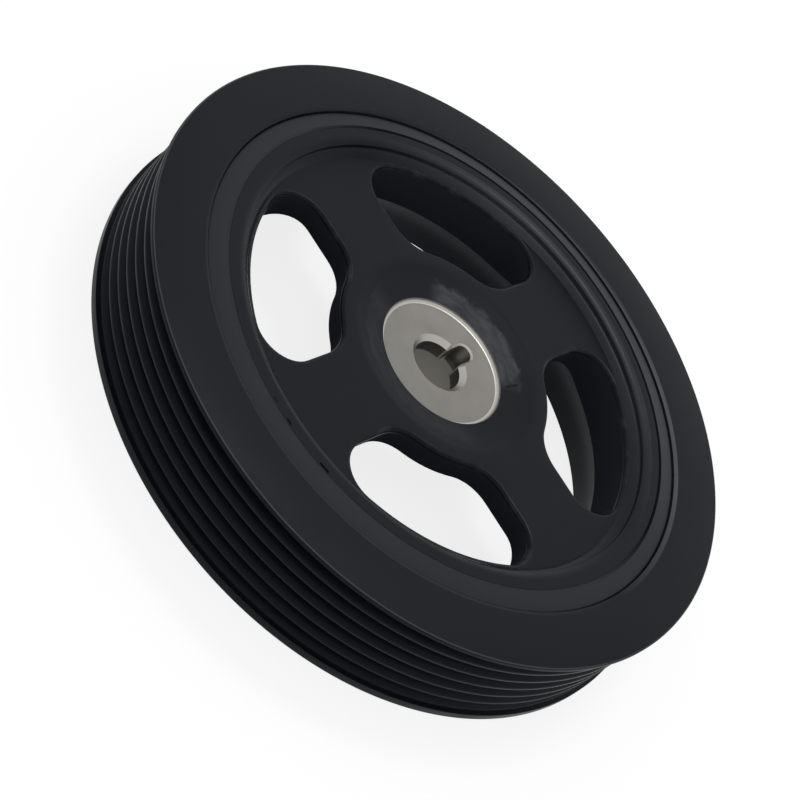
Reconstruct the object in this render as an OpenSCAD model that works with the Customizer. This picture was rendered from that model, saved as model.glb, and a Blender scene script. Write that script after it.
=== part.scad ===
// Crankshaft harmonic balancer: a cast hub with four windows, a bonded rubber ring
// and an inertia ring that carries the belt. It lies on its rear face with the crank
// axis on +Z, the bolt seat upwards and the locating slot on +Y.

/* [Belt track] */
// Number of belt grooves
groove_count = 6; // [5:1:8]
// Distance from one groove to the next
groove_pitch = 3.56; // [3.2:0.01:4.7]
// Angle between the two flanks of a groove
groove_angle = 40; // [34:1:46]
// Radius at the bottom of a groove
groove_root_r = 0.5; // [0.2:0.05:0.6]
// Width of the flat crest between two grooves
crest_land = 0.9; // [0.5:0.05:1.2]
// Bevel on both edges of a crest
crest_bevel = 0.15; // [0.05:0.05:0.2]
// Height of the flanges above the crests
flange_lip = 1.15; // [0.5:0.05:3]

/* [Inertia ring] */
// Diameter of the front flange
flange_d = 154; // [138:0.5:180]
// Diameter by which the rear flange is smaller than the front one
rear_flange_cut = 0.4; // [0:0.1:2]
// Distance from the front face to the middle of the first crest
front_land = 1.6; // [1.5:0.05:6]
// Distance from the middle of the last crest to the rear face
rear_land = 2.74; // [1.6:0.02:6]
// Axial lean of the step from a crest up to a flange
flange_step = 0.1; // [0.05:0.05:0.4]
// Rounding of the flange's outer edges
flange_edge_r = 0.5; // [0.2:0.05:0.6]
// Radial thickness of the ring, from the crests to the rubber
ring_t = 11.85; // [8:0.05:16]
// Width of the shallow bevel round the front of the bore
ring_bevel_w = 1.3; // [0.3:0.1:3]
// Depth of that bevel
ring_bevel_h = 0.3; // [0.1:0.05:1]
// Chamfer on the rear edge of the bore
ring_rear_chamfer = 0.6; // [0.2:0.1:1.5]

/* [Rubber ring] */
// Thickness of the rubber between the hub and the inertia ring
rubber_t = 5; // [3:0.1:7]
// Depth of the rubber's edges below the faces
rubber_sink = 1.15; // [0.4:0.1:3]
// Height of the rounded bead on both ends of the rubber
rubber_bead = 0.9; // [0.1:0.05:1]

/* [Hub rim] */
// Height of the hub's machined rim above the ring's front face
rim_proud = 0.2; // [0:0.1:1]
// Rim wall at the front, outside the dish
rim_wall = 4.3; // [3.6:0.1:6]
// Rim wall at the rear face
rim_wall_rear = 3.5; // [2.4:0.1:5]
// Chamfer on the rim's outer front edge
rim_chamfer = 0.35; // [0.1:0.05:0.8]
// Chamfer on the rim's outer rear edge
rim_rear_chamfer = 0.5; // [0.2:0.1:1.2]
// Radius of the rounded edge between the rim face and the dish
dish_edge_r = 4.3; // [3:0.1:8]
// Width of that rounded edge, seen from the front
dish_edge_w = 2.2; // [1:0.1:2.8]

/* [Hub web] */
// Depth of the web's front below the ring's front face
web_drop = 2.7; // [2.2:0.1:5]
// Thickness of the web between the windows
web_t = 6.9; // [5:0.1:9]
// Fillet at the foot of the dish wall
dish_foot_r = 1; // [0.3:0.1:1.2]
// Sweep between the web's rear and the rim's inner wall
rear_sweep_r = 12.6; // [6:0.1:14]
// Distance by which the rim's inner wall leans outwards from the sweep to the rear face
rear_lean = 0.5; // [0.2:0.1:1.5]

/* [Windows] */
// Number of windows, with a spoke between each two
window_count = 4; // [3:1:5]
// Width of the shoulder between the dish wall and the windows
window_shoulder = 3.2; // [2.5:0.1:6]
// Radius of the boss, where the windows end
boss_r = 28.6; // [27:0.1:34]
// Width of a spoke at its narrowest
spoke_w = 20.6; // [12:0.1:26]
// Corner radius at the outer end of a window
window_outer_r = 7.8; // [4:0.1:9]
// Corner radius at the boss
window_inner_r = 10; // [5:0.1:12]
// Rounding of the windows' front edges
window_edge_r = 1; // [0.4:0.1:1.6]
// Draft of the spokes' and the boss's sides, opening to the rear
window_draft = 11; // [2:1:12]

/* [Bolt seat] */
// Outer diameter of the cast recess round the seat
recess_d = 49.6; // [44:0.1:52]
// Radius of the soft edge between the recess and the web
recess_blend_r = 8; // [2:0.5:10]
// Depth of the recess below the web, at the seat's edge
recess_h = 2.2; // [1.4:0.1:3]
// Width of the flat land round the seat
seat_land_w = 0.9; // [0.3:0.1:2]
// Diameter of the spot-faced seat
seat_d = 32.6; // [26:0.1:38]
// Depth of the spot face below the land
seat_cut = 0.95; // [0.4:0.05:2]
// Corner radius left by the spot-facing cutter
seat_corner_r = 0.85; // [0.2:0.05:1.5]
// Wall between the seat and the crank-nose bore
seat_t = 4.6; // [3:0.1:7]
// Diameter of the crank bolt's hole
bolt_hole_d = 12.5; // [8.5:0.1:16]
// Chamfer on the front of the bolt hole
bolt_chamfer = 1.2; // [0.4:0.1:2]
// Width of the locating slot, milled from the front through the seat's wall
slot_w = 4.2; // [3:0.1:5]
// Distance from the crank axis to the slot's round end
slot_reach = 11.3; // [9.8:0.1:12.4]
// Depth of the slot's floor below the inner end of the nose bore
slot_sink = 1.15; // [0.3:0.05:3]
// Bevel on the slot's edge at the seat
slot_edge = 0.4; // [0.1:0.05:0.6]

/* [Crank sleeve] */
// Diameter of the bore that fits the crank nose
nose_d = 19; // [17:0.1:22]
// Length of the sleeve, from the bolt seat to its rear end
sleeve_l = 14.75; // [11:0.05:16]
// Outer diameter of the sleeve at its rear end
sleeve_d = 27.2; // [26:0.1:34]
// Draft of the sleeve's outside
sleeve_draft = 8; // [0:1:15]
// Fillet between the sleeve and the web
sleeve_fillet_r = 3; // [1:0.1:5]
// Chamfer on the sleeve's rear edges
sleeve_chamfer = 0.8; // [0.3:0.1:1.2]

/* [Hidden] */
$fn = 64;

// How far a cutter runs past the face that it opens
past = 1;
// Largest share of a window's width that one of its corners may take
corner_share = 0.45;
// Flats along the curved stretches of a section or an outline
edge_steps = 4;
bead_steps = 10;
sweep_steps = 10;
corner_steps = 9;
arc_steps = 9;

// Radii and heights that the pieces share
flange_r = flange_d / 2;
rear_flange_r = (flange_d - rear_flange_cut) / 2;
crest_r = flange_r - flange_lip;
ring_bore_r = crest_r - ring_t;
hub_r = ring_bore_r - rubber_t;
face_z = front_land + groove_count * groove_pitch + rear_land;
rim_z = face_z + rim_proud;
web_z = face_z - web_drop;
web_rear_z = web_z - web_t;
recess_z = web_z - recess_h;
seat_z = recess_z - seat_cut;
sleeve_z = seat_z - sleeve_l;
nose_z = seat_z - seat_t;

// Hub radii
dish_r = hub_r - rim_wall;
rim_inner_r = hub_r - rim_wall_rear;
window_r = dish_r - window_shoulder;
sleeve_r = sleeve_d / 2;
seat_r = seat_d / 2;
corner_room = corner_share * (window_r - boss_r);
recess_r = recess_d / 2;
cutter_r = min(seat_corner_r, seat_cut);
sweep_r = min(rear_sweep_r, web_rear_z);
sweep_foot_r = rim_inner_r - rear_lean;

// Points on an arc about c from angle a0 to a1, both ends included
function arc(c, r, a0, a1, steps) =
    [for (i = [0:steps]) let (a = a0 + (a1 - a0) * i / steps) c + r * [cos(a), sin(a)]];

// Half height of a groove's mouth, and the depth of its rounded root
mouth = (groove_pitch - crest_land) / 2;
root_depth = mouth / tan(groove_angle / 2) - groove_root_r / sin(groove_angle / 2);

// Section of one groove below the crest line, centred on height z, from its top edge down
function groove(z) =
    let (flank = 90 - groove_angle / 2, root = [crest_r - root_depth, z])
    concat(
        [[crest_r, z + mouth + crest_bevel],
         [crest_r - crest_bevel, z + mouth - crest_bevel * tan(groove_angle / 2)]],
        arc(root, groove_root_r, 180 - flank, 180 + flank, 2 * edge_steps),
        [[crest_r - crest_bevel, z - mouth + crest_bevel * tan(groove_angle / 2)],
         [crest_r, z - mouth - crest_bevel]]);

// Height of groove number i, counted from the front
function groove_z(i) = face_z - front_land - (i + 0.5) * groove_pitch;

front_crest_z = face_z - front_land + crest_land / 2;
rear_crest_z = rear_land - crest_land / 2;

// Inertia ring: one turned piece with a flange, the grooves and a rear flange
module inertia_ring() {
    color("#26272a")
        rotate_extrude($fn = 240)
            polygon(concat(
                [[ring_bore_r + ring_bevel_w, face_z]],
                arc([flange_r - flange_edge_r, face_z - flange_edge_r], flange_edge_r, 90, 0, edge_steps),
                [[flange_r, front_crest_z + flange_step], [crest_r, front_crest_z]],
                [for (i = [0:groove_count - 1]) each groove(groove_z(i))],
                [[crest_r, rear_crest_z], [rear_flange_r, rear_crest_z - flange_step]],
                arc([rear_flange_r - flange_edge_r, flange_edge_r], flange_edge_r, 0, -90, edge_steps),
                [[ring_bore_r + ring_rear_chamfer, 0],
                 [ring_bore_r, ring_rear_chamfer],
                 [ring_bore_r, face_z - ring_bevel_h]]));
}

// Rounded end of the rubber between the hub and the ring, from radius r0 to r1 at height z
function bead(r0, r1, z, rise) =
    [for (i = [0:bead_steps]) let (a = 180 * i / bead_steps)
        [r0 + (r1 - r0) * (1 - cos(a)) / 2, z + rise * sin(a)]];

// Rubber ring, bonded to the rim of the hub and to the bore of the inertia ring
module rubber_ring() {
    color("#343536")
        rotate_extrude($fn = 240)
            polygon(concat(
                bead(hub_r, ring_bore_r, face_z - rubber_sink, rubber_bead),
                bead(ring_bore_r, hub_r, rubber_sink, -rubber_bead)));
}

// Section of the hub from the axis outwards along the rear, and back along the front
module hub_section() {
    edge_tilt = asin(dish_edge_w / dish_edge_r);
    sleeve_foot_r = sleeve_r + (web_rear_z - sleeve_z - sleeve_chamfer) * tan(sleeve_draft);
    fillet_in = sleeve_fillet_r * (1 - sin(sleeve_draft)) / cos(sleeve_draft);
    recess_run = recess_r - seat_r - seat_land_w;
    recess_tilt = atan2(recess_h, recess_run);
    blend_r = min(recess_blend_r, recess_run / 2 / tan(recess_tilt / 2));
    polygon(concat(
        [[0, sleeve_z], [sleeve_r - sleeve_chamfer, sleeve_z], [sleeve_r, sleeve_z + sleeve_chamfer]],
        arc([sleeve_foot_r + fillet_in, web_rear_z - sleeve_fillet_r],
            sleeve_fillet_r, 180 - sleeve_draft, 90, edge_steps),
        arc([sweep_foot_r - sweep_r, web_rear_z - sweep_r], sweep_r, 90, 0, sweep_steps),
        [[rim_inner_r, 0], [hub_r - rim_rear_chamfer, 0], [hub_r, rim_rear_chamfer],
         [hub_r, rim_z - rim_chamfer], [hub_r - rim_chamfer, rim_z]],
        arc([dish_r + dish_edge_w, rim_z - dish_edge_r], dish_edge_r, 90, 90 + edge_tilt, edge_steps),
        arc([dish_r - dish_foot_r, web_z + dish_foot_r], dish_foot_r, 0, -90, edge_steps),
        arc([recess_r + blend_r * tan(recess_tilt / 2), web_z - blend_r],
            blend_r, 90, 90 + recess_tilt, edge_steps),
        [[seat_r + seat_land_w, recess_z], [seat_r, recess_z]],
        arc([seat_r - cutter_r, seat_z + cutter_r], cutter_r, 0, -90, edge_steps),
        [[0, seat_z]]));
}

// Half of a window's outline, from the middle of its inner arc round the spoke's side.
// The spoke lies along +X, and grow moves the spoke's and the boss's sides apart.
function window_half(grow, grow_out) =
    let (
        mid = 180 / window_count,
        ro = window_r + grow_out,
        ri = boss_r - grow,
        h = spoke_w / 2 - grow,
        out_r = min(window_outer_r, corner_room) + grow_out,
        in_r = min(window_inner_r, corner_room) + grow_out,
        out_a = asin((h + out_r) / (ro - out_r)),
        in_a = asin((h + in_r) / (ri + in_r)))
    concat(
        arc([0, 0], ri, mid, in_a, edge_steps),
        arc((ri + in_r) * [cos(in_a), sin(in_a)], in_r, 180 + in_a, 270, corner_steps),
        arc((ro - out_r) * [cos(out_a), sin(out_a)], out_r, -90, out_a, corner_steps),
        arc([0, 0], ro, out_a, mid, arc_steps));

// A point mirrored across the line at angle a through the axis
function mirrored(p, a) = [p.x * cos(2 * a) + p.y * sin(2 * a), p.x * sin(2 * a) - p.y * cos(2 * a)];

// Whole outline of a window, without points that repeat
function window_outline(grow, grow_out) =
    let (
        half = window_half(grow, grow_out),
        in_end = edge_steps,
        out_start = edge_steps + 1 + 2 * (corner_steps + 1),
        side = [for (i = [0:len(half) - 1]) if (i != in_end && i != out_start) half[i]],
        mid = 180 / window_count)
    concat(side, [for (i = [len(side) - 2:-1:1]) mirrored(side[i], mid)]);

// Cutter for one window: a rounded mouth, and sides that open to the rear with the draft
module window_cutter() {
    fillet = [for (i = [edge_steps:-1:0]) 90 * i / edge_steps];
    rear_run = web_z - window_edge_r;
    levels = concat(
        [[-past, (rear_run + past) * tan(window_draft), 0]],
        [for (a = fillet) [
            web_z - window_edge_r * (1 - cos(a)),
            window_edge_r * (1 - sin(a)),
            window_edge_r * (1 - sin(a))]],
        [[web_z + past, window_edge_r, window_edge_r]]);
    rings = [for (l = levels) [for (p = window_outline(l[1], l[2])) [p.x, p.y, l[0]]]];
    n = len(rings[0]);
    last = len(rings) - 1;
    polyhedron(
        points = [for (ring = rings) each ring],
        faces = concat(
            [[for (j = [0:n - 1]) j]],
            [for (i = [0:last - 1], j = [0:n - 1]) let (k = (j + 1) % n)
                each [[i * n + j, (i + 1) * n + j, (i + 1) * n + k], [i * n + j, (i + 1) * n + k, i * n + k]]],
            [[for (j = [n - 1:-1:0]) last * n + j]]));
}

// Hub: one casting with its rim, web, boss and crank sleeve, machined at the seat and bores
module hub() {
    color("#26272a")
        difference() {
            rotate_extrude($fn = 240)
                hub_section();
            for (i = [0:window_count - 1])
                rotate(90 + i * 360 / window_count)
                    window_cutter();
            bolt_hole();
            nose_bore();
            locating_slot();
        }
}

// Hole for the crank bolt, chamfered at the seat
module bolt_hole() {
    bolt_r = bolt_hole_d / 2;
    translate([0, 0, nose_z - past])
        cylinder(r = bolt_r, h = seat_t + 2 * past);
    translate([0, 0, seat_z - bolt_chamfer])
        cylinder(r1 = bolt_r, r2 = bolt_r + bolt_chamfer + past, h = bolt_chamfer + past);
}

// Bore for the crank nose, chamfered at its rear mouth
module nose_bore() {
    nose_r = nose_d / 2;
    translate([0, 0, sleeve_z - past])
        cylinder(r = nose_r, h = nose_z - sleeve_z + past);
    translate([0, 0, sleeve_z - past])
        cylinder(r1 = nose_r + sleeve_chamfer + past, r2 = nose_r, h = sleeve_chamfer + past);
}

// Slot with a round end on +Y, through the seat's wall and just past the inner end of the nose bore
module locating_slot() {
    slot_r = slot_w / 2;
    end_y = slot_reach - slot_r;
    floor_z = nose_z - slot_sink;
    edge_z = seat_z - slot_edge;
    rise = slot_edge + past;
    translate([0, 0, floor_z])
        linear_extrude(seat_z - floor_z + past) {
            translate([-slot_r, 0])
                square([slot_w, end_y]);
            translate([0, end_y])
                circle(slot_r);
        }
    translate([0, end_y, edge_z])
        cylinder(r1 = slot_r, r2 = slot_r + rise, h = rise);
    translate([0, end_y, edge_z])
        rotate([90, 0, 0])
            linear_extrude(end_y)
                polygon([[-slot_r, 0], [slot_r, 0], [slot_r + rise, rise], [-slot_r - rise, rise]]);
}

hub();
rubber_ring();
inertia_ring();
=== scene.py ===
import math

import bpy
from mathutils import Matrix, Vector


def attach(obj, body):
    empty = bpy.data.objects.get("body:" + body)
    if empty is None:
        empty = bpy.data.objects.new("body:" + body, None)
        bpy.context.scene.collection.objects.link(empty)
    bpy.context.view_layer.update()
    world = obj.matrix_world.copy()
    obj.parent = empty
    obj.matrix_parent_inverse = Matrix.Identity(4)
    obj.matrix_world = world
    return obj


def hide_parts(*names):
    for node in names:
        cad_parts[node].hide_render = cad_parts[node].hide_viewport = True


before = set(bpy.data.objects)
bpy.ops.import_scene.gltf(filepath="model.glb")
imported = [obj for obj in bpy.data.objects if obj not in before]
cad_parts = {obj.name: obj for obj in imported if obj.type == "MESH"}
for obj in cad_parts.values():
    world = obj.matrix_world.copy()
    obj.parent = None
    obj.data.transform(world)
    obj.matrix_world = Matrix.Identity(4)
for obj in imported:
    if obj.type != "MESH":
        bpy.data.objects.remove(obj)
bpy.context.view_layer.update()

# The camera looks down on the balancer from the side of the belt track, rolled so that the
# crank axis points up and to the right of the picture, with a long portrait lens.
camera_data = bpy.data.cameras.new("camera")
camera_data.sensor_width = 36
camera_data.lens = 92.78
camera_data.clip_start = 0.01
camera = bpy.data.objects.new("camera", camera_data)
bpy.context.collection.objects.link(camera)
to_right = Vector((0.53781401, 0.60239518, 0.58981025))
to_top = Vector((-0.82855998, 0.24846335, 0.50175127))
to_viewer = to_right.cross(to_top)
camera.matrix_world = Matrix((to_right, to_top, to_viewer)).transposed().to_4x4()
camera.location = (0.07329133, -0.35410814, 0.29956729)
bpy.context.scene.camera = camera
bpy.context.scene.view_settings.view_transform = "Standard"


# Studio floor: a pale matt board under the part. Seen directly or mirrored in the paint it
# glows a little, so that it comes out white and still carries the soft shadow of the part.
def linear(hex_colour):
    channels = [int(hex_colour[i:i + 2], 16) / 255 for i in (1, 3, 5)]
    return [c / 12.92 if c <= 0.04045 else ((c + 0.055) / 1.055) ** 2.4 for c in channels] + [1.0]


def add_node(nodes, kind, settings=None, links=None):
    """Adds a node. Settings and links go by the name or the number of a socket."""
    node = nodes.new(kind)
    for name, value in (settings or {}).items():
        if isinstance(name, int) or name in node.inputs:
            node.inputs[name].default_value = value
        else:
            setattr(node, name, value)
    for name, source in (links or {}).items():
        nodes.id_data.links.new(source, node.inputs[name])
    return node


def new_material(name):
    material = bpy.data.materials.new(name)
    material.use_nodes = True
    material.node_tree.nodes.clear()
    return material, material.node_tree.nodes


def background_rays(nodes):
    """One for a ray that shows the background: straight, through glass or off something glossy."""
    path = add_node(nodes, "ShaderNodeLightPath")
    straight = add_node(nodes, "ShaderNodeMath", {"operation": "MAXIMUM"},
                        {0: path.outputs["Is Camera Ray"], 1: path.outputs["Is Transmission Ray"]})
    shown = add_node(nodes, "ShaderNodeMath", {"operation": "MAXIMUM"},
                     {0: straight.outputs[0], 1: path.outputs["Is Glossy Ray"]})
    return shown.outputs[0]


WHITE = "#ffffff"
bpy.ops.object.select_all(action="DESELECT")
bpy.ops.mesh.primitive_plane_add(size=6, location=(0, 0, 0))
floor = bpy.context.object
floor.name = "floor"
floor_paint, nodes = new_material("pale_matt_board")
matt = add_node(nodes, "ShaderNodeBsdfDiffuse", {"Color": linear("#818181")})
glow = add_node(nodes, "ShaderNodeEmission", {"Color": linear(WHITE), "Strength": 0.81})
glowing = add_node(nodes, "ShaderNodeAddShader", links={0: matt.outputs[0], 1: glow.outputs[0]})
plain = add_node(nodes, "ShaderNodeBsdfDiffuse", {"Color": linear("#e7e7e7")})
board = add_node(nodes, "ShaderNodeMixShader",
                 links={0: background_rays(nodes), 1: plain.outputs[0], 2: glowing.outputs[0]})
add_node(nodes, "ShaderNodeOutputMaterial", links={"Surface": board.outputs[0]})
floor.data.materials.append(floor_paint)

# Studio light: an even white room, a small softbox behind the part that lights the edges
# leaning towards the camera, and a weak wide one beside the camera.
world = bpy.data.worlds.new("white_room")
bpy.context.scene.world = world
world.use_nodes = True
nodes = world.node_tree.nodes
nodes.clear()
strength = add_node(nodes, "ShaderNodeMapRange", {"To Min": 0.72, "To Max": 1.0},
                    {"Value": background_rays(nodes)})
room = add_node(nodes, "ShaderNodeBackground", {"Color": linear(WHITE)}, {"Strength": strength.outputs[0]})
add_node(nodes, "ShaderNodeOutputWorld", links={"Surface": room.outputs[0]})


def add_softbox(name, place, size, watts):
    """Hangs a lamp with a rectangular front, sized in metres, that points at the part."""
    data = bpy.data.lights.new(name, "AREA")
    data.shape = "RECTANGLE"
    data.size, data.size_y = size
    data.energy = watts
    lamp = bpy.data.objects.new(name, data)
    bpy.context.collection.objects.link(lamp)
    lamp.location = place
    lamp.rotation_euler = Vector(place).to_track_quat("Z", "Y").to_euler()


add_softbox("key_softbox", (-0.12, 0.4, 0.95), (0.36, 0.22), 2.4)
add_softbox("fill_softbox", (0.1, -0.9, 0.75), (0.7, 0.5), 0.5)

# Inertia ring: grey iron turned all over in one piece, with six belt grooves between a
# front and a rear flange, then coated black. It is held on the hub by the rubber alone.
MM = 0.001
FRONT_Z = 25.7
FLANGE_R = 77.0
FLANGE_ROUND = 0.4
REAR_FLANGE_R = 76.8
REAR_FLANGE_ROUND = 0.5
FRONT_LAND = 1.6
GROOVE_PITCH = 3.56
FLANK = math.radians(20)
ROOT_ROUND = 0.5
CREST_R = 75.85
CREST_LAND = 0.9
CREST_EDGE = 0.15
RING_BORE_R = 64.0
BORE_EDGE = 1.1
BORE_EDGE_DROP = 0.2
JOINT_Z = 24.0
SMOOTH_BELOW = math.radians(32)

# Ways round in a section that is drawn in the XZ plane, and in a plan.
CLOCKWISE = (0, 1, 0)
COUNTER_CLOCKWISE = (0, -1, 0)
SEEN_FROM_ABOVE = (0, 0, 1)
pen = Vector()


def new_piece(name):
    """Adds an empty piece and opens it for drawing."""
    bpy.ops.object.select_all(action="DESELECT")
    bpy.ops.mesh.primitive_plane_add(size=MM, location=(0, 0, 0))
    piece = bpy.context.object
    piece.name = name
    bpy.ops.object.mode_set(mode="EDIT")
    bpy.ops.mesh.delete(type="VERT")
    return piece


def line_from(x, y, z):
    """Puts down one point, in millimetres, for a line to be extruded from."""
    bpy.ops.mesh.select_all(action="DESELECT")
    bpy.ops.mesh.primitive_plane_add(size=MM, location=(0, 0, 0))
    bpy.ops.mesh.merge(type="CENTER")
    bpy.ops.transform.translate(value=(x * MM, y * MM, z * MM))
    pen.xyz = (x, y, z)


def line_to(x, y, z):
    """Extrudes the point at the end of the line to a new place."""
    bpy.ops.mesh.extrude_vertices_move(TRANSFORM_OT_translate={"value": (Vector((x, y, z)) - pen) * MM})
    pen.xyz = (x, y, z)


def arc_about(x, y, z, axis, degrees, steps):
    """Spins the point at the end of the line about a centre, by the right-hand rule."""
    bpy.ops.mesh.spin(steps=steps, angle=-math.radians(degrees), center=(x * MM, y * MM, z * MM), axis=axis)
    turn = Matrix.Rotation(math.radians(degrees), 3, Vector(axis))
    pen.xyz = Vector((x, y, z)) + turn @ (pen - Vector((x, y, z)))


def join_points():
    bpy.ops.mesh.select_all(action="SELECT")
    bpy.ops.mesh.remove_doubles(threshold=0.002 * MM)


def turn_on_lathe():
    """Closes the section that was drawn in the XZ plane and spins it about the crank axis."""
    join_points()
    bpy.ops.mesh.spin(steps=256, angle=math.tau, center=(0, 0, 0), axis=(0, 0, 1))
    join_points()
    bpy.ops.mesh.normals_make_consistent(inside=False)
    bpy.ops.object.mode_set(mode="OBJECT")


# The flanks of a groove would cross inside its root; the centre of the root's round lies above that.
mouth = (GROOVE_PITCH - CREST_LAND) / 2
root_r = CREST_R - mouth / math.tan(FLANK) + ROOT_ROUND / math.sin(FLANK)
flank_foot_r = root_r - ROOT_ROUND * math.sin(FLANK)
bevel = CREST_EDGE * math.tan(FLANK)
bore_edge_arc = (BORE_EDGE ** 2 + BORE_EDGE_DROP ** 2) / (2 * BORE_EDGE_DROP)

ring = new_piece("turned_inertia_ring")
line_from(RING_BORE_R + BORE_EDGE, 0, FRONT_Z)
line_to(FLANGE_R - FLANGE_ROUND, 0, FRONT_Z)
arc_about(FLANGE_R - FLANGE_ROUND, 0, FRONT_Z - FLANGE_ROUND, CLOCKWISE, 90, 4)
line_to(FLANGE_R, 0, FRONT_Z - 1.0)
line_to(FLANGE_R - 0.1, 0, FRONT_Z - 1.08)
line_to(CREST_R, 0, FRONT_Z - 1.15)
for number in range(6):
    groove_z = FRONT_Z - FRONT_LAND - (number + 0.5) * GROOVE_PITCH
    line_to(CREST_R, 0, groove_z + mouth + CREST_EDGE)
    line_to(CREST_R - 0.4 * CREST_EDGE, 0, groove_z + mouth + 0.35 * CREST_EDGE)
    line_to(CREST_R - CREST_EDGE, 0, groove_z + mouth - bevel)
    line_to(flank_foot_r, 0, groove_z + ROOT_ROUND * math.cos(FLANK))
    arc_about(root_r, 0, groove_z, COUNTER_CLOCKWISE, 140, 8)
    line_to(CREST_R - CREST_EDGE, 0, groove_z - mouth + bevel)
    line_to(CREST_R - 0.4 * CREST_EDGE, 0, groove_z - mouth - 0.35 * CREST_EDGE)
    line_to(CREST_R, 0, groove_z - mouth - CREST_EDGE)
line_to(CREST_R, 0, 2.29)
line_to(REAR_FLANGE_R - 0.1, 0, 2.22)
line_to(REAR_FLANGE_R, 0, 2.14)
line_to(REAR_FLANGE_R, 0, REAR_FLANGE_ROUND)
arc_about(REAR_FLANGE_R - REAR_FLANGE_ROUND, 0, REAR_FLANGE_ROUND, CLOCKWISE, 90, 4)
line_to(RING_BORE_R + 0.6, 0, 0)
line_to(RING_BORE_R, 0, 0.6)
line_to(RING_BORE_R, 0, JOINT_Z)
line_to(RING_BORE_R, 0, FRONT_Z - BORE_EDGE_DROP)
arc_about(RING_BORE_R + BORE_EDGE, 0, FRONT_Z - bore_edge_arc, CLOCKWISE,
          math.degrees(math.asin(BORE_EDGE / bore_edge_arc)), 6)
turn_on_lathe()
bpy.ops.object.shade_smooth_by_angle(angle=SMOOTH_BELOW)


def crank_radius(nodes, place):
    """How far a place on the surface lies from the crank axis."""
    split = add_node(nodes, "ShaderNodeSeparateXYZ", links={"Vector": place})
    flat = add_node(nodes, "ShaderNodeCombineXYZ", links={"X": split.outputs["X"], "Y": split.outputs["Y"]})
    length = add_node(nodes, "ShaderNodeVectorMath", {"operation": "LENGTH"}, {0: flat.outputs[0]})
    return length.outputs["Value"]


def lightening_around(nodes, place, stops):
    """How much lighter the surface is made on its way round, from -X by -Y, +X and +Y: parts of a turn,
    and how much. On the turned edges this is painted highlight, round the seat it is wear.
    """
    around = add_node(nodes, "ShaderNodeTexGradient", {"gradient_type": "RADIAL"}, {"Vector": place})
    lightening_ramp = add_node(nodes, "ShaderNodeValToRGB", links={"Fac": around.outputs["Fac"]})
    for stop, grey in stops:
        lightening_ramp.color_ramp.elements.new(stop).color = (grey, grey, grey, 1)
    lightening_ramp.color_ramp.elements[-1].color = (0, 0, 0, 1)
    return lightening_ramp.outputs["Color"]


# Electro-dipped black paint over turned iron: near black with a cold sheen, and satin, with
# duller and glossier clouds from handling. The faint circles of the turning tool are drawn at
# 0.45 mm, coarser than the real feed of about 0.1 mm, so that they show.
COLD_SHEEN = linear("#eaf2ff")
ring_coat, nodes = new_material("black_dipped_paint_on_turned_iron")
place = add_node(nodes, "ShaderNodeTexCoord").outputs["Object"]
tool_marks = add_node(nodes, "ShaderNodeTexNoise",
                      {"noise_dimensions": "1D", "Scale": 1 / (0.45 * MM), "Detail": 3.0},
                      {"W": crank_radius(nodes, place)})
clouds = add_node(nodes, "ShaderNodeTexNoise", {"Scale": 1 / (14 * MM), "Detail": 5.0, "Roughness": 0.6},
                  {"Vector": place})
grain = add_node(nodes, "ShaderNodeTexNoise", {"Scale": 1 / (0.5 * MM), "Detail": 2.0}, {"Vector": place})
shade = add_node(nodes, "ShaderNodeMix",
                 {"data_type": "RGBA", "A": linear("#0a0c10"), "B": linear("#0d1116")},
                 {"Factor": clouds.outputs[0]})
gloss = add_node(nodes, "ShaderNodeMapRange",
                 {"From Min": 0.3, "From Max": 0.7, "To Min": 0.34, "To Max": 0.46},
                 {"Value": clouds.outputs[0]})
circles = add_node(nodes, "ShaderNodeBump", {"Strength": 0.06, "Distance": 0.05 * MM},
                   {"Height": tool_marks.outputs[0]})
bump = add_node(nodes, "ShaderNodeBump", {"Strength": 0.12, "Distance": 0.05 * MM},
                {"Height": grain.outputs[0], "Normal": circles.outputs[0]})
skin = add_node(nodes, "ShaderNodeBsdfPrincipled",
                {"IOR": 1.5, "Specular IOR Level": 0.094, "Specular Tint": COLD_SHEEN},
                {"Base Color": shade.outputs["Result"], "Roughness": gloss.outputs[0],
                 "Normal": bump.outputs[0]})
add_node(nodes, "ShaderNodeOutputMaterial", links={"Surface": skin.outputs[0]})
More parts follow.
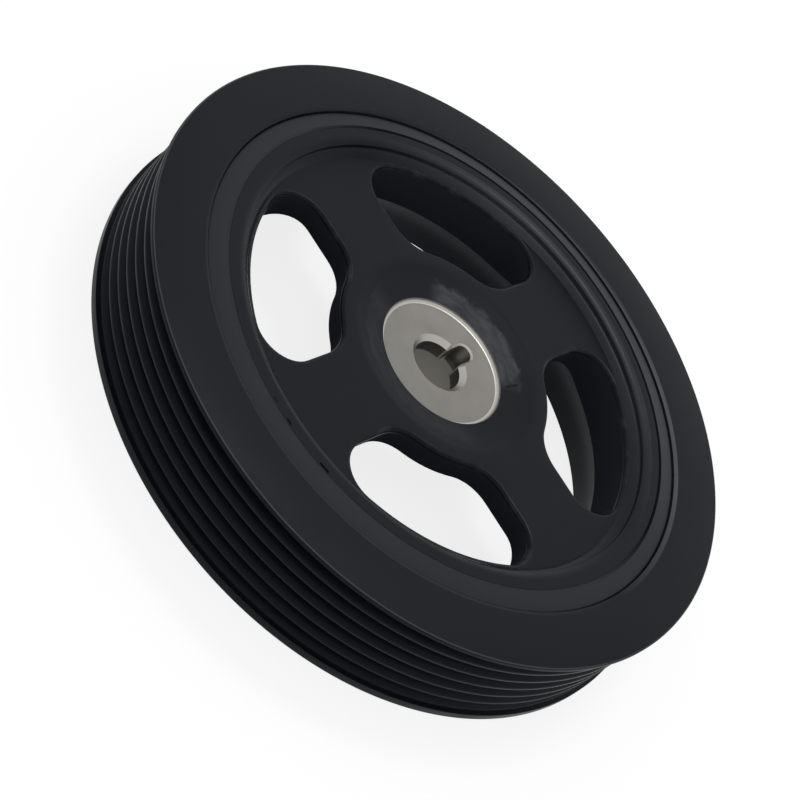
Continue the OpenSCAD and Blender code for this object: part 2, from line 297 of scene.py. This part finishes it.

# The same paint on turned edges, rubbed glossy by hands and the press tool. It is painted grey on the
# side where each edge catches the light, a painted highlight (on the ring's bore partly also paint
# rubbed grey), so that the edge draws a thin line of light there. In the joint it is lighter grey all
# round.
lightened_edges = {}
# ring_bore, dish and flange: grey on the side towards the light, a painted highlight; joint: even grey.
for name, lightening in (("ring_bore", ((0.5, 0.0), (0.55, 0.5), (0.6, 1.0), (0.68, 1.0), (0.76, 0.3),
                                 (0.85, 0.0))),
                   ("dish", ((0.55, 0.0), (0.66, 0.3), (0.75, 0.3), (0.83, 0.5), (0.9, 0.25), (0.96, 0.0))),
                   ("joint", ((0.001, 0.2), (0.999, 0.2))),
                   ("flange", ((0.001, 0.7), (0.42, 0.7), (0.5, 0.3), (0.9, 0.3), (0.999, 0.7)))):
    material, nodes = new_material("black_paint_rubbed_grey_on_the_" + name + "_edge")
    place = add_node(nodes, "ShaderNodeTexCoord").outputs["Object"]
    clouds = add_node(nodes, "ShaderNodeTexNoise", {"Scale": 1 / (6 * MM), "Detail": 4.0},
                      {"Vector": place})
    gloss = add_node(nodes, "ShaderNodeMapRange",
                     {"From Min": 0.3, "From Max": 0.7, "To Min": 0.24, "To Max": 0.32},
                     {"Value": clouds.outputs[0]})
    shade = add_node(nodes, "ShaderNodeMix",
                     {"data_type": "RGBA", "A": linear("#0c0f13"), "B": linear("#45484d")},
                     {"Factor": lightening_around(nodes, place, lightening)})
    skin = add_node(nodes, "ShaderNodeBsdfPrincipled",
                    {"IOR": 1.5, "Specular IOR Level": 0.1, "Specular Tint": COLD_SHEEN},
                    {"Base Color": shade.outputs["Result"], "Roughness": gloss.outputs[0]})
    add_node(nodes, "ShaderNodeOutputMaterial", links={"Surface": skin.outputs[0]})
    lightened_edges[name] = material


def ring_finish(r, z):
    # The ring's bore edge and the flange's front edge take the painted highlight.
    if r < RING_BORE_R + BORE_EDGE and 25.49 < z < FRONT_Z - 0.001:
        return lightened_edges["ring_bore"]
    if r > 76.6 and z > FRONT_Z - 0.1:
        return lightened_edges["flange"]
    if r < 64.1 and z > JOINT_Z:
        return lightened_edges["joint"]
    return ring_coat


ring_finishes = [ring_coat, lightened_edges["ring_bore"], lightened_edges["flange"], lightened_edges["joint"]]
for material in ring_finishes:
    ring.data.materials.append(material)
for face in ring.data.polygons:
    x, y, z = face.center / MM
    face.material_index = ring_finishes.index(ring_finish(math.hypot(x, y), z))
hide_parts("inertia_ring")
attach(ring, "root")

# Rubber ring: black damper rubber, moulded and bonded in the gap between the hub and the
# inertia ring. At the front it swells up beside the hub and falls back towards the ring.
HUB_R = 59.0
CREASE = 0.12
SHOULDER_ROUND = 0.8
SHOULDER_Z = 24.35
REAR_BEAD_Z = 1.15
REAR_BEAD_CENTRE_Z = 3.72
half_width = (RING_BORE_R - HUB_R) / 2
shoulder_r = RING_BORE_R - SHOULDER_ROUND
fall = math.atan2(0.75, 3.4)
rear_turn = 2 * math.atan2(half_width, REAR_BEAD_CENTRE_Z - REAR_BEAD_Z)

rubber = new_piece("bonded_rubber_ring")
line_from(HUB_R, 0, 25.78)
arc_about(HUB_R + CREASE, 0, 25.78, CLOCKWISE, 90, 3)
line_to(59.75, 0, 25.86)
line_to(shoulder_r + SHOULDER_ROUND * math.sin(fall), 0, SHOULDER_Z + SHOULDER_ROUND * math.cos(fall))
arc_about(shoulder_r, 0, SHOULDER_Z, CLOCKWISE, 90 - math.degrees(fall), 8)
line_to(RING_BORE_R, 0, REAR_BEAD_Z)
arc_about(HUB_R + half_width, 0, REAR_BEAD_CENTRE_Z, CLOCKWISE, math.degrees(rear_turn), 14)
line_to(HUB_R, 0, 25.78)
turn_on_lathe()
bpy.ops.object.shade_smooth_by_angle(angle=SMOOTH_BELOW)

# Carbon-black rubber: matt and a little lighter than the paint, with a faint bloom, and painted lighter
# towards +Y as a painted sheen where that side catches the light. Its moulded grain is drawn at
# 0.35 mm, coarser than real, so that it shows.
rubber_skin, nodes = new_material("black_damper_rubber")
place = add_node(nodes, "ShaderNodeTexCoord").outputs["Object"]
bloom = add_node(nodes, "ShaderNodeTexNoise", {"Scale": 1 / (9 * MM), "Detail": 6.0, "Roughness": 0.65},
                 {"Vector": place})
grain = add_node(nodes, "ShaderNodeTexNoise", {"Scale": 1 / (0.35 * MM), "Detail": 2.0}, {"Vector": place})
shade = add_node(nodes, "ShaderNodeMix",
                 {"data_type": "RGBA", "A": linear("#0b0c0f"), "B": linear("#111316")},
                 {"Factor": bloom.outputs[0]})
split = add_node(nodes, "ShaderNodeSeparateXYZ", links={"Vector": place})
# Painted sheen: the rubber is mixed towards grey towards +Y, where the far side catches the light.
far_side_sheen = add_node(nodes, "ShaderNodeMapRange",
                {"From Min": 22 * MM, "From Max": 50 * MM, "To Min": 0.0, "To Max": 0.8},
                {"Value": split.outputs["Y"]})
sheened = add_node(nodes, "ShaderNodeMix", {"data_type": "RGBA", "B": linear("#2c2e32")},
                 {"Factor": far_side_sheen.outputs[0], "A": shade.outputs["Result"]})
bump = add_node(nodes, "ShaderNodeBump", {"Strength": 0.25, "Distance": 0.08 * MM},
                {"Height": grain.outputs[0]})
skin = add_node(nodes, "ShaderNodeBsdfPrincipled",
                {"IOR": 1.5, "Specular IOR Level": 0.27, "Specular Tint": COLD_SHEEN, "Roughness": 0.6},
                {"Base Color": sheened.outputs["Result"], "Normal": bump.outputs[0]})
add_node(nodes, "ShaderNodeOutputMaterial", links={"Surface": skin.outputs[0]})

# Painted shade along the rubber's inner edge, beside the hub: dull and almost black on the half
# towards +Y, where the crease with the hub lies in shade and shows as a dark line, and a lit grey on
# the other half.
crease_shade, nodes = new_material("painted_shade_in_the_rubber_crease")
place = add_node(nodes, "ShaderNodeTexCoord").outputs["Object"]
split = add_node(nodes, "ShaderNodeSeparateXYZ", links={"Vector": place})
shaded_side = add_node(nodes, "ShaderNodeMapRange", {"From Min": -4 * MM, "From Max": 22 * MM},
                  {"Value": split.outputs["Y"]})
shade = add_node(nodes, "ShaderNodeMix",
                 {"data_type": "RGBA", "A": linear("#303236"), "B": linear("#050607")},
                 {"Factor": shaded_side.outputs[0]})
skin = add_node(nodes, "ShaderNodeBsdfPrincipled",
                {"IOR": 1.5, "Specular IOR Level": 0.04, "Roughness": 0.8},
                {"Base Color": shade.outputs["Result"]})
add_node(nodes, "ShaderNodeOutputMaterial", links={"Surface": skin.outputs[0]})

for material in (rubber_skin, crease_shade):
    rubber.data.materials.append(material)
# The faces along the rubber's inner edge, beside the hub, take the painted crease shade.
for face in rubber.data.polygons:
    x, y, z = face.center / MM
    if math.hypot(x, y) < 59.74 and z > 25:
        face.material_index = 1
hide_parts("rubber_ring")
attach(rubber, "root")

# Hub: one iron casting with a rim, a web with four windows, and a sleeve for the crank nose.
# Its rim, bolt seat, bores and locating slot are machined; the rest is as cast and painted.
SEAT_Z = 19.85
SEAT_R = 16.3
SEAT_ROUND = 0.85
BOLT_R = 6.25
BOLT_CHAMFER = 1.2
NOSE_R = 9.5
NOSE_END_Z = 15.25
SLEEVE_R = 13.6
SLEEVE_Z = 5.1
SLEEVE_CHAMFER = 0.8
SLEEVE_FILLET = 3.0
RECESS_Z = 20.8
RECESS_SLOPE = math.radians(16.144)
RECESS_ROUND = 8.0
RECESS_R = 25.9346
WEB_Z = 23.0
WEB_REAR_Z = 16.1
LEDGE_R = 52.6
DISH_R = 54.7
DISH_EDGE = 2.2
DISH_ROUND = 4.3
RIM_Z = 25.9
REAR_SWEEP = 12.6
REAR_SWEEP_R = 42.0
REAR_SWEEP_Z = 3.5
dish_turn = math.asin(DISH_EDGE / DISH_ROUND)

hub = new_piece("cast_hub")
line_from(BOLT_R, 0, SEAT_Z - BOLT_CHAMFER)
line_to(BOLT_R + BOLT_CHAMFER, 0, SEAT_Z)
line_to(SEAT_R - SEAT_ROUND, 0, SEAT_Z)
arc_about(SEAT_R - SEAT_ROUND, 0, SEAT_Z + SEAT_ROUND, COUNTER_CLOCKWISE, 90, 6)
line_to(SEAT_R, 0, RECESS_Z)
line_to(SEAT_R + 0.9, 0, RECESS_Z)
line_to(RECESS_R - RECESS_ROUND * math.sin(RECESS_SLOPE), 0,
        WEB_Z - RECESS_ROUND * (1 - math.cos(RECESS_SLOPE)))
arc_about(RECESS_R, 0, WEB_Z - RECESS_ROUND, CLOCKWISE, math.degrees(RECESS_SLOPE), 5)
line_to(LEDGE_R, 0, WEB_Z)
# A rounded ledge of 4 mm radius leads from the web up to the wall of the dish.
arc_about(55.7056, 0, 20.4785, CLOCKWISE, 36.37, 6)
line_to(DISH_R, 0, RIM_Z - DISH_ROUND * (1 - math.cos(dish_turn)))
arc_about(DISH_R + DISH_EDGE, 0, RIM_Z - DISH_ROUND, CLOCKWISE, math.degrees(dish_turn), 6)
line_to(HUB_R - 0.06, 0, RIM_Z)
line_to(HUB_R, 0, RIM_Z - 0.06)
line_to(HUB_R, 0, 0.5)
line_to(HUB_R - 0.5, 0, 0)
line_to(REAR_SWEEP_R + REAR_SWEEP + 0.3, 0, 0)
line_to(REAR_SWEEP_R + REAR_SWEEP, 0, REAR_SWEEP_Z)
arc_about(REAR_SWEEP_R, 0, REAR_SWEEP_Z, COUNTER_CLOCKWISE, 90, 12)
line_to(17.641, 0, WEB_REAR_Z)
arc_about(17.641, 0, WEB_REAR_Z - SLEEVE_FILLET, COUNTER_CLOCKWISE, 82, 6)
line_to(SLEEVE_R, 0, SLEEVE_Z + SLEEVE_CHAMFER)
line_to(SLEEVE_R - SLEEVE_CHAMFER, 0, SLEEVE_Z)
line_to(NOSE_R + SLEEVE_CHAMFER, 0, SLEEVE_Z)
line_to(NOSE_R, 0, SLEEVE_Z + SLEEVE_CHAMFER)
line_to(NOSE_R, 0, NOSE_END_Z)
line_to(BOLT_R, 0, NOSE_END_Z)
line_to(BOLT_R, 0, SEAT_Z - BOLT_CHAMFER)
turn_on_lathe()

# Windows: four kidneys cored right through the web, with draft on the boss and the spokes,
# and with a rounded mouth at the front.
WINDOW_R = 51.5
BOSS_R = 28.6
HALF_SPOKE = 10.3
OUTER_CORNER = 7.8
INNER_CORNER = 10.0
MOUTH_ROUND = 1.0
DRAFT = math.radians(11)
CUTTER_Z = -1.0


def window_outline(z, spread, outer_spread):
    """Draws the kidney between the spokes on +X and +Y. The spokes and the boss stand back by
    spread, the outer arc by outer_spread."""
    outer_r, inner_r, spoke = WINDOW_R + outer_spread, BOSS_R - spread, HALF_SPOKE - spread
    outer_corner, inner_corner = OUTER_CORNER + outer_spread, INNER_CORNER + outer_spread
    outer_a = math.asin((spoke + outer_corner) / (outer_r - outer_corner))
    inner_a = math.asin((spoke + inner_corner) / (inner_r + inner_corner))
    outer_x = (outer_r - outer_corner) * math.cos(outer_a)
    inner_x = (inner_r + inner_corner) * math.cos(inner_a)
    outer_deg, inner_deg = math.degrees(outer_a), math.degrees(inner_a)
    line_from(inner_r * math.sqrt(0.5), inner_r * math.sqrt(0.5), z)
    arc_about(0, 0, z, SEEN_FROM_ABOVE, inner_deg - 45, 4)
    arc_about(inner_x, spoke + inner_corner, z, SEEN_FROM_ABOVE, 90 - inner_deg, 10)
    line_to(outer_x, spoke, z)
    arc_about(outer_x, spoke + outer_corner, z, SEEN_FROM_ABOVE, 90 + outer_deg, 14)
    arc_about(0, 0, z, SEEN_FROM_ABOVE, 90 - 2 * outer_deg, 18)
    arc_about(spoke + outer_corner, outer_x, z, SEEN_FROM_ABOVE, 90 + outer_deg, 14)
    line_to(spoke, inner_x, z)
    arc_about(spoke + inner_corner, inner_x, z, SEEN_FROM_ABOVE, 90 - inner_deg, 10)
    arc_about(0, 0, z, SEEN_FROM_ABOVE, inner_deg - 45, 4)


def close_cutter():
    """Joins the outlines that were drawn into one closed body."""
    join_points()
    bpy.ops.mesh.bridge_edge_loops()
    bpy.ops.mesh.select_all(action="DESELECT")
    bpy.ops.mesh.select_non_manifold()
    bpy.ops.mesh.fill_holes(sides=0)
    bpy.ops.mesh.select_all(action="SELECT")
    bpy.ops.mesh.normals_make_consistent(inside=False)


def cut_with(piece, cutter):
    bpy.ops.object.mode_set(mode="OBJECT")
    bpy.ops.object.select_all(action="DESELECT")
    piece.select_set(True)
    bpy.context.view_layer.objects.active = piece
    cut = piece.modifiers.new("cut", "BOOLEAN")
    cut.operation = "DIFFERENCE"
    cut.solver = "EXACT"
    cut.object = cutter
    bpy.ops.object.modifier_apply(modifier="cut")
    bpy.data.objects.remove(cutter)


mouth_z = WEB_Z - MOUTH_ROUND
windows = new_piece("window_cutters")
window_outline(CUTTER_Z, (mouth_z - CUTTER_Z) * math.tan(DRAFT), 0)
window_outline(mouth_z, 0, 0)
for degrees in (75, 60, 45, 30, 15, 0):
    back = MOUTH_ROUND * (1 - math.sin(math.radians(degrees)))
    window_outline(mouth_z + MOUTH_ROUND * math.cos(math.radians(degrees)), back, back)
window_outline(WEB_Z + 1.0, MOUTH_ROUND, MOUTH_ROUND)
close_cutter()
bpy.ops.mesh.spin(steps=3, angle=math.radians(270), dupli=True, center=(0, 0, 0), axis=(0, 0, 1))
cut_with(hub, windows)

# Locating slot: milled down from the seat through the wall into the nose bore, with a round
# end towards +Y and a broken edge.
SLOT_HALF = 2.1
SLOT_END_Y = 9.2
SLOT_FLOOR_Z = 14.1
SLOT_BEVEL = 0.4
slot = new_piece("locating_slot_cutter")
for z, half in ((SLOT_FLOOR_Z, SLOT_HALF), (SEAT_Z - SLOT_BEVEL, SLOT_HALF),
                (SEAT_Z + 1.0, SLOT_HALF + SLOT_BEVEL + 1.0)):
    line_from(half, 0, z)
    line_to(half, SLOT_END_Y, z)
    arc_about(0, SLOT_END_Y, z, SEEN_FROM_ABOVE, 180, 16)
    line_to(-half, 0, z)
    line_to(half, 0, z)
close_cutter()
cut_with(hub, slot)

# Chips: three short ones in the machined face of the rim, on the side towards -Y, each
# knocked out beside the rubber and left dark.
CHIP_DEPTH = 0.35
chips = new_piece("rim_chip_cutters")
for x, y, length, width in ((-3.8, -58.2, 1.4, 0.2), (1.4, -58.4, 1.5, 0.4), (12.8, -57.0, 2.6, 0.5)):
    middle = (x * MM, y * MM, RIM_Z * MM)
    bpy.ops.mesh.select_all(action="DESELECT")
    bpy.ops.mesh.primitive_cube_add(size=MM, location=middle)
    bpy.ops.transform.resize(value=(length, width, 2 * CHIP_DEPTH), center_override=middle)
    bpy.ops.transform.rotate(value=-math.atan2(x, -y), orient_axis="Z", center_override=middle)
bpy.ops.mesh.select_all(action="SELECT")
bpy.ops.mesh.normals_make_consistent(inside=False)
cut_with(hub, chips)
bpy.ops.object.shade_smooth_by_angle(angle=SMOOTH_BELOW)

# The same paint over a sand casting: softer and less even, with a few pale specks where grit
# has broken the film. The sand grain is drawn at 1.1 mm, coarser than real, so that it shows.
SAND_GRAIN = {"Scale": 1 / (1.1 * MM), "Detail": 4.0, "Roughness": 0.55}
cast_coat, nodes = new_material("black_dipped_paint_on_cast_iron")
place = add_node(nodes, "ShaderNodeTexCoord").outputs["Object"]
clouds = add_node(nodes, "ShaderNodeTexNoise", {"Scale": 1 / (12 * MM), "Detail": 6.0, "Roughness": 0.6},
                  {"Vector": place})
sand = add_node(nodes, "ShaderNodeTexNoise", SAND_GRAIN, {"Vector": place})
grit = add_node(nodes, "ShaderNodeTexVoronoi", {"Scale": 1 / (13 * MM)}, {"Vector": place})
speck = add_node(nodes, "ShaderNodeMapRange",
                 {"From Min": 0.018, "From Max": 0.026, "To Min": 0.45, "To Max": 0.0},
                 {"Value": grit.outputs["Distance"]})
shade = add_node(nodes, "ShaderNodeMix",
                 {"data_type": "RGBA", "A": linear("#0a0c10"), "B": linear("#0e1217")},
                 {"Factor": clouds.outputs[0]})
chipped = add_node(nodes, "ShaderNodeMix", {"data_type": "RGBA", "B": linear("#6c6c6a")},
                   {"Factor": speck.outputs[0], "A": shade.outputs["Result"]})
bump = add_node(nodes, "ShaderNodeBump", {"Strength": 0.3, "Distance": 0.1 * MM},
                {"Height": sand.outputs[0]})
skin = add_node(nodes, "ShaderNodeBsdfPrincipled",
                {"IOR": 1.5, "Specular IOR Level": 0.089, "Specular Tint": COLD_SHEEN, "Roughness": 0.45},
                {"Base Color": chipped.outputs["Result"], "Normal": bump.outputs[0]})
add_node(nodes, "ShaderNodeOutputMaterial", links={"Surface": skin.outputs[0]})

# The same paint in the windows, thin over rough sand and dusty: it is dull and mirrors nothing.
wall_coat, nodes = new_material("dull_black_paint_on_the_window_walls")
place = add_node(nodes, "ShaderNodeTexCoord").outputs["Object"]
sand = add_node(nodes, "ShaderNodeTexNoise", SAND_GRAIN, {"Vector": place})
shade = add_node(nodes, "ShaderNodeMix",
                 {"data_type": "RGBA", "A": linear("#1f2127"), "B": linear("#26282e")},
                 {"Factor": sand.outputs[0]})
bump = add_node(nodes, "ShaderNodeBump", {"Strength": 0.3, "Distance": 0.1 * MM},
                {"Height": sand.outputs[0]})
skin = add_node(nodes, "ShaderNodeBsdfPrincipled",
                {"IOR": 1.5, "Specular IOR Level": 0.03, "Specular Tint": COLD_SHEEN, "Roughness": 0.9},
                {"Base Color": shade.outputs["Result"], "Normal": bump.outputs[0]})
add_node(nodes, "ShaderNodeOutputMaterial", links={"Surface": skin.outputs[0]})

# Scuffed paint in the recess: the wrench and the bolt's washer have smeared it silver-grey in
# ragged strokes round the seat, most of all on the side towards +Y, and nicked it with a short
# dark line. The strokes run round the axis, so they are drawn on radius and turn.
STROKE_LENGTH = 40 * MM
RAGGED_BY = 7 * MM
scuffed_coat, nodes = new_material("black_paint_scuffed_round_the_seat")
place = add_node(nodes, "ShaderNodeTexCoord").outputs["Object"]
radius = crank_radius(nodes, place)
around = add_node(nodes, "ShaderNodeTexGradient", {"gradient_type": "RADIAL"}, {"Vector": place})
turned = add_node(nodes, "ShaderNodeMath", {"operation": "MULTIPLY", 1: STROKE_LENGTH},
                  {0: around.outputs["Fac"]})
along = add_node(nodes, "ShaderNodeCombineXYZ", links={"X": radius, "Y": turned.outputs[0]})
strokes = add_node(nodes, "ShaderNodeTexNoise", {"Scale": 1 / (1.8 * MM), "Detail": 4.0, "Roughness": 0.6},
                   {"Vector": along.outputs[0]})
ragged = add_node(nodes, "ShaderNodeTexNoise", {"Scale": 1 / (4 * MM), "Detail": 6.0, "Roughness": 0.7},
                  {"Vector": place})
reach = add_node(nodes, "ShaderNodeMath", {"operation": "MULTIPLY_ADD", 1: RAGGED_BY},
                 {0: ragged.outputs[0], 2: radius})
band = add_node(nodes, "ShaderNodeMapRange",
                {"From Min": 24.2 * MM, "From Max": 25.6 * MM, "To Min": 1.0, "To Max": 0.0},
                {"Value": reach.outputs[0]})
torn = add_node(nodes, "ShaderNodeMapRange",
                {"From Min": 0.38, "From Max": 0.62, "To Min": 0.3, "To Max": 0.7},
                {"Value": strokes.outputs[0]})
smear = add_node(nodes, "ShaderNodeMath", {"operation": "MULTIPLY"},
                 {0: band.outputs[0], 1: torn.outputs[0]})
sides = lightening_around(nodes, place, ((0.03, 0.0), (0.07, 0.25), (0.42, 0.25), (0.46, 0.0), (0.63, 0.0),
                                   (0.66, 1.0), (0.89, 1.0), (0.92, 0.0)))
rubbed = add_node(nodes, "ShaderNodeMath", {"operation": "MULTIPLY"}, {0: smear.outputs[0], 1: sides})
shade = add_node(nodes, "ShaderNodeMix",
                 {"data_type": "RGBA", "A": linear("#0b0e12"), "B": linear("#484a4e")},
                 {"Factor": rubbed.outputs[0]})
nicked = shade.outputs["Result"]
for x, y, z in ((-13.3, 13.2, 22.0), (11.3, 13.8, 21.3), (11.5, 14.3, 21.4), (11.6, 14.8, 21.5),
                (11.8, 15.3, 21.7), (11.9, 15.8, 21.8), (12.1, 16.3, 22.0)):
    away = add_node(nodes, "ShaderNodeVectorMath", {"operation": "DISTANCE", 1: (x * MM, y * MM, z * MM)},
                    {0: place})
    inside = add_node(nodes, "ShaderNodeMapRange",
                      {"From Min": 0.4 * MM, "From Max": 0.6 * MM, "To Min": 0.9, "To Max": 0.0},
                      {"Value": away.outputs["Value"]})
    nick = add_node(nodes, "ShaderNodeMix", {"data_type": "RGBA", "B": linear("#020203")},
                    {"Factor": inside.outputs[0], "A": nicked})
    nicked = nick.outputs["Result"]
skin = add_node(nodes, "ShaderNodeBsdfPrincipled",
                {"IOR": 1.5, "Specular IOR Level": 0.089, "Specular Tint": COLD_SHEEN, "Roughness": 0.45},
                {"Base Color": nicked})
add_node(nodes, "ShaderNodeOutputMaterial", links={"Surface": skin.outputs[0]})

# Worn paint on the windows' mouths: the rounded edge has lost its paint in short pale
# stretches, and is black in between.
worn_coat, nodes = new_material("black_paint_worn_on_the_window_edges")
place = add_node(nodes, "ShaderNodeTexCoord").outputs["Object"]
lightening = add_node(nodes, "ShaderNodeTexNoise", {"Scale": 1 / (5 * MM), "Detail": 5.0, "Roughness": 0.6},
                {"Vector": place})
bare = add_node(nodes, "ShaderNodeMapRange",
                {"From Min": 0.5, "From Max": 0.75, "To Min": 0.0, "To Max": 0.4},
                {"Value": lightening.outputs[0]})
shade = add_node(nodes, "ShaderNodeMix",
                 {"data_type": "RGBA", "A": linear("#0c0e12"), "B": linear("#3c3e41")},
                 {"Factor": bare.outputs[0]})
skin = add_node(nodes, "ShaderNodeBsdfPrincipled",
                {"IOR": 1.5, "Specular IOR Level": 0.1, "Specular Tint": COLD_SHEEN, "Roughness": 0.32},
                {"Base Color": shade.outputs["Result"]})
add_node(nodes, "ShaderNodeOutputMaterial", links={"Surface": skin.outputs[0]})

# Bare machined iron on the seat: warm grey metal, clean because the paint was masked or cut
# away. The circles of its fine feed are drawn at 0.3 mm, coarser than real, so that they show.
bare_iron, nodes = new_material("bare_turned_iron")
place = add_node(nodes, "ShaderNodeTexCoord").outputs["Object"]
feed = add_node(nodes, "ShaderNodeTexNoise",
                {"noise_dimensions": "1D", "Scale": 1 / (0.3 * MM), "Detail": 2.0},
                {"W": crank_radius(nodes, place)})
stain = add_node(nodes, "ShaderNodeTexNoise", {"Scale": 1 / (5 * MM), "Detail": 5.0}, {"Vector": place})
shade = add_node(nodes, "ShaderNodeMix",
                 {"data_type": "RGBA", "A": linear("#6e6c68"), "B": linear("#7d7b76")},
                 {"Factor": stain.outputs[0]})
bump = add_node(nodes, "ShaderNodeBump", {"Strength": 0.08, "Distance": 0.05 * MM},
                {"Height": feed.outputs[0]})
skin = add_node(nodes, "ShaderNodeBsdfPrincipled", {"Metallic": 1.0, "Roughness": 0.38},
                {"Base Color": shade.outputs["Result"], "Normal": bump.outputs[0]})
add_node(nodes, "ShaderNodeOutputMaterial", links={"Surface": skin.outputs[0]})

# Bright-cut iron on the corner of the seat, the chamfer and the slot's edge: the cutter has
# burnished it, so that it draws a pale ring of light.
bright_iron, nodes = new_material("bright_cut_iron_edge")
skin = add_node(nodes, "ShaderNodeBsdfPrincipled",
                {"Base Color": linear("#aaa8a2"), "Metallic": 1.0, "Roughness": 0.36})
add_node(nodes, "ShaderNodeOutputMaterial", links={"Surface": skin.outputs[0]})

# Bored and milled iron in the nose bore and the slot: plain, duller and darker than the seat.
bored_iron, nodes = new_material("dull_bored_iron")
skin = add_node(nodes, "ShaderNodeBsdfPrincipled",
                {"Base Color": linear("#7c7a74"), "Metallic": 1.0, "Roughness": 0.55})
add_node(nodes, "ShaderNodeOutputMaterial", links={"Surface": skin.outputs[0]})

# Drilled iron in the bolt hole: left rougher, and stained dark brown with old oil.
drilled_iron, nodes = new_material("oil_stained_drilled_iron")
place = add_node(nodes, "ShaderNodeTexCoord").outputs["Object"]
stain = add_node(nodes, "ShaderNodeTexNoise", {"Scale": 1 / (3 * MM), "Detail": 4.0}, {"Vector": place})
shade = add_node(nodes, "ShaderNodeMix",
                 {"data_type": "RGBA", "A": linear("#3a3936"), "B": linear("#4c4a46")},
                 {"Factor": stain.outputs[0]})
skin = add_node(nodes, "ShaderNodeBsdfPrincipled", {"Metallic": 1.0, "Roughness": 0.5},
                {"Base Color": shade.outputs["Result"]})
add_node(nodes, "ShaderNodeOutputMaterial", links={"Surface": skin.outputs[0]})


def hub_finish(face):
    """Tells the hub's surfaces apart by the middle of the face and the way it points."""
    x, y, z = face.center / MM
    r = math.hypot(x, y)
    beside_slot = 0 < y and SLOT_FLOOR_Z - 0.1 < z < SEAT_Z - 0.001
    # The dish's ledge, wall and edge take the edge paint with its painted highlight on the far side.
    if LEDGE_R < r < DISH_R + DISH_EDGE and WEB_Z < z < RIM_Z - 0.001:
        return lightened_edges["dish"]
    if r > 56.8 and z > RIM_Z - 1:
        return ring_coat
    if 16.31 < r < 25.95 and z > 20.7:
        return scuffed_coat
    if r < LEDGE_R and mouth_z < z < WEB_Z - 0.001 and 0.03 < face.normal.z < 0.999:
        return worn_coat
    if beside_slot and abs(x) < 2.55 and y < 11.75 and z > SEAT_Z - SLOT_BEVEL - 0.01 and r > 7.3:
        return bright_iron
    if beside_slot and abs(x) < 2.6 and y < 11.8 and z < SEAT_Z - 0.01:
        return bored_iron
    if 6.4 < r < 9.6 and 5.2 < z < 15.3:
        return bored_iron
    if r < 6.3 and 15.3 < z < 18.6:
        return drilled_iron
    if 15.45 < r < 16.35 and z > SEAT_Z or r < 7.45 and 18.6 < z < SEAT_Z:
        return bright_iron
    if r < 16.31 and z > 17:
        return bare_iron
    if 25 < r < LEDGE_R and 12 < z < mouth_z + 0.1 and abs(face.normal.z) < 0.3:
        return wall_coat
    return cast_coat


hub_finishes = [cast_coat, ring_coat, scuffed_coat, worn_coat, bare_iron, drilled_iron,
                lightened_edges["dish"], bright_iron, bored_iron, wall_coat]
for material in hub_finishes:
    hub.data.materials.append(material)
for face in hub.data.polygons:
    face.material_index = hub_finishes.index(hub_finish(face))
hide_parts("hub")
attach(hub, "root")
